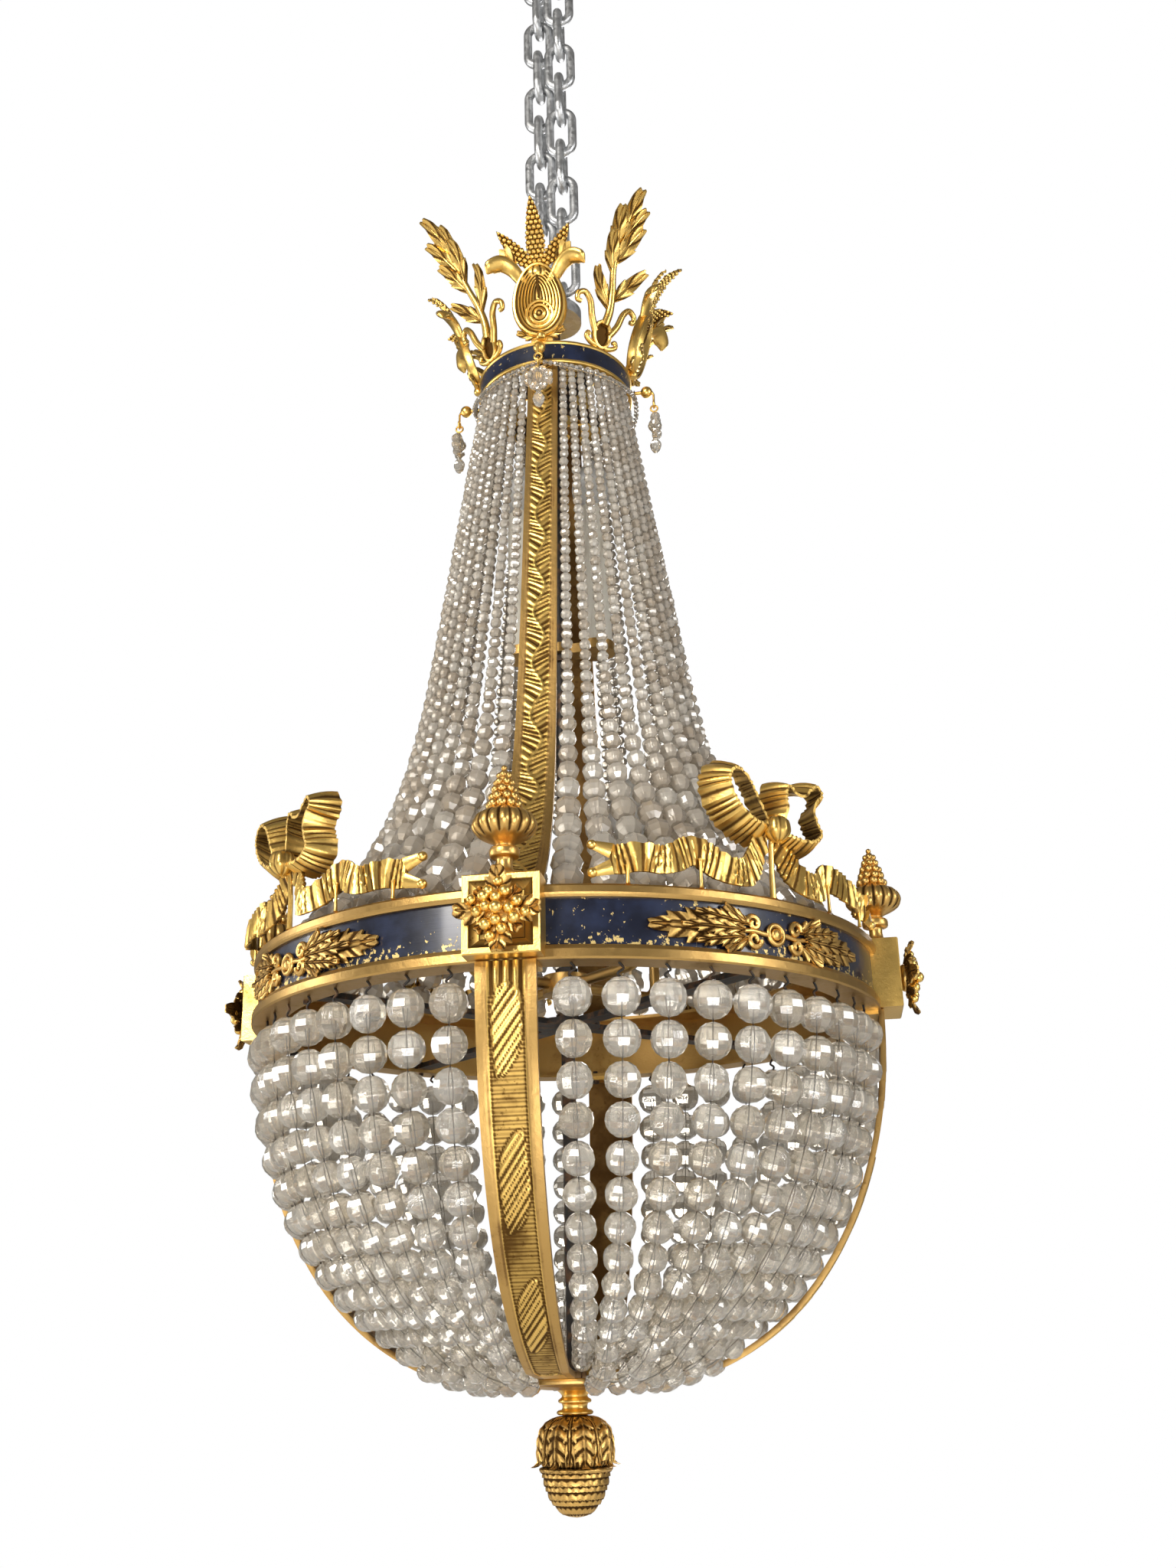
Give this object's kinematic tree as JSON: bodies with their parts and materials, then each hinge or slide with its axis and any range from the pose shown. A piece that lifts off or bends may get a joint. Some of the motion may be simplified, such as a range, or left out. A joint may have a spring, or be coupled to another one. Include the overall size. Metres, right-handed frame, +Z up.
{
  "type": "crystal chandelier",
  "caption": "Tent and basket chandelier of glass bead strands with a gilt and blue ring, crown, bows, straps, pine finial and a chain of links to hang it from.",
  "frame": {"origin": "middle of the two topmost bearing points of the chain, where the part hangs", "axes": "+Z up along the chain and stem, -Y towards the block at the front, +X to the right"},
  "size_m": [0.529, 0.529, 1.3849],
  "materials": {
    "galvanised_steel": "satin",
    "dark_steel": "satin",
    "gilt_bronze": "satin",
    "blue_enamel": "gloss",
    "crystal": "gloss",
    "ivory_sleeve": "matt",
    "lampholder": "matt",
    "bulb_glass": "gloss"
  },
  "bodies": {
    "chain_link_10": {"chain_links_10": "galvanised_steel"},
    "chain_link_09": {"chain_links_09": "galvanised_steel"},
    "chain_link_08": {"chain_links_08": "galvanised_steel"},
    "chain_link_07": {"chain_links_07": "galvanised_steel"},
    "chain_link_06": {"chain_links_06": "galvanised_steel"},
    "chain_link_05": {"chain_links_05": "galvanised_steel"},
    "chain_link_04": {"chain_links_04": "galvanised_steel"},
    "chain_link_03": {"chain_links_03": "galvanised_steel"},
    "chain_link_02": {"chain_links_02": "galvanised_steel"},
    "chain_link_01": {"chain_links_01": "galvanised_steel"},
    "chandelier": {"hanging_eye": "dark_steel", "stem": "dark_steel", "stem_nuts": "dark_steel", "crown_spider": "dark_steel", "ring_spider": "dark_steel", "screws": "dark_steel", "strand_hooks": "dark_steel", "crown_band": "gilt_bronze", "crown_mouldings": "gilt_bronze", "cartouches": "gilt_bronze", "leaf_sprays": "gilt_bronze", "tassel_hooks": "gilt_bronze", "upper_straps": "gilt_bronze", "main_hoop": "gilt_bronze", "upper_moulding": "gilt_bronze", "lower_moulding": "gilt_bronze", "corner_blocks": "gilt_bronze", "block_rosettes": "gilt_bronze", "block_finials": "gilt_bronze", "bows": "gilt_bronze", "bow_tails": "gilt_bronze", "leaf_mounts": "gilt_bronze", "lower_ribs": "gilt_bronze", "bottom_plate": "gilt_bronze", "neck": "gilt_bronze", "finial_cup": "gilt_bronze", "pine_cone": "gilt_bronze", "lamp_arms": "gilt_bronze", "drip_pans": "gilt_bronze", "upper_lamp_bar": "gilt_bronze", "crown_enamel": "blue_enamel", "enamel_band": "blue_enamel", "bead_swags": "crystal", "cone_strands_1": "crystal", "cone_strands_2": "crystal", "cone_strands_3": "crystal", "cone_strands_4": "crystal", "basket_strands_1": "crystal", "basket_strands_2": "crystal", "basket_strands_3": "crystal", "basket_strands_4": "crystal", "candle_sleeves": "ivory_sleeve", "upper_sleeves": "ivory_sleeve", "lampholders": "lampholder", "bulbs": "bulb_glass"},
    "tassel_body_front": {"tassel_front": "crystal"},
    "tassel_body_right": {"tassel_right": "crystal"},
    "tassel_body_back": {"tassel_back": "crystal"},
    "tassel_body_left": {"tassel_left": "crystal"}
  },
  "joints": [
    {"name": "link_hinge_09", "type": "hinge", "parent": "chain_link_10", "child": "chain_link_09", "pos_m": [0, 0, -0.039], "axis": [0.9191, -0.3939, 0], "range_deg": [-10, 10]},
    {"name": "link_hinge_08", "type": "hinge", "parent": "chain_link_09", "child": "chain_link_08", "pos_m": [0, 0, -0.078], "axis": [0.9191, -0.3939, 0], "range_deg": [-10, 10]},
    {"name": "link_hinge_07", "type": "hinge", "parent": "chain_link_08", "child": "chain_link_07", "pos_m": [0, 0, -0.117], "axis": [0.9191, -0.3939, 0], "range_deg": [-10, 10]},
    {"name": "link_hinge_06", "type": "hinge", "parent": "chain_link_07", "child": "chain_link_06", "pos_m": [0, 0, -0.156], "axis": [0.9191, -0.3939, 0], "range_deg": [-10, 10]},
    {"name": "link_hinge_05", "type": "hinge", "parent": "chain_link_06", "child": "chain_link_05", "pos_m": [0, 0, -0.195], "axis": [0.9191, -0.3939, 0], "range_deg": [-10, 10]},
    {"name": "link_hinge_04", "type": "hinge", "parent": "chain_link_05", "child": "chain_link_04", "pos_m": [0, 0, -0.234], "axis": [0.9191, -0.3939, 0], "range_deg": [-10, 10]},
    {"name": "link_hinge_03", "type": "hinge", "parent": "chain_link_04", "child": "chain_link_03", "pos_m": [0, 0, -0.273], "axis": [0.9191, -0.3939, 0], "range_deg": [-10, 10]},
    {"name": "link_hinge_02", "type": "hinge", "parent": "chain_link_03", "child": "chain_link_02", "pos_m": [0, 0, -0.312], "axis": [0.9191, -0.3939, 0], "range_deg": [-10, 10]},
    {"name": "link_hinge_01", "type": "hinge", "parent": "chain_link_02", "child": "chain_link_01", "pos_m": [0, 0, -0.351], "axis": [0.9191, -0.3939, 0], "range_deg": [-10, 10]},
    {"name": "eye_hinge", "type": "hinge", "parent": "chain_link_01", "child": "chandelier", "pos_m": [0, 0, -0.39], "axis": [0.9191, -0.3939, 0], "range_deg": [-10, 10]},
    {"name": "tassel_hinge_front", "type": "hinge", "parent": "chandelier", "child": "tassel_body_front", "pos_m": [0, -0.085, -0.5178], "axis": [-1, 0, 0], "range_deg": [-4, 30]},
    {"name": "tassel_hinge_right", "type": "hinge", "parent": "chandelier", "child": "tassel_body_right", "pos_m": [0.085, 0, -0.5178], "axis": [0, -1, 0], "range_deg": [-4, 30]},
    {"name": "tassel_hinge_back", "type": "hinge", "parent": "chandelier", "child": "tassel_body_back", "pos_m": [0, 0.085, -0.5178], "axis": [1, 0, 0], "range_deg": [-4, 30]},
    {"name": "tassel_hinge_left", "type": "hinge", "parent": "chandelier", "child": "tassel_body_left", "pos_m": [-0.085, 0, -0.5178], "axis": [0, 1, 0], "range_deg": [-4, 30]}
  ]
}
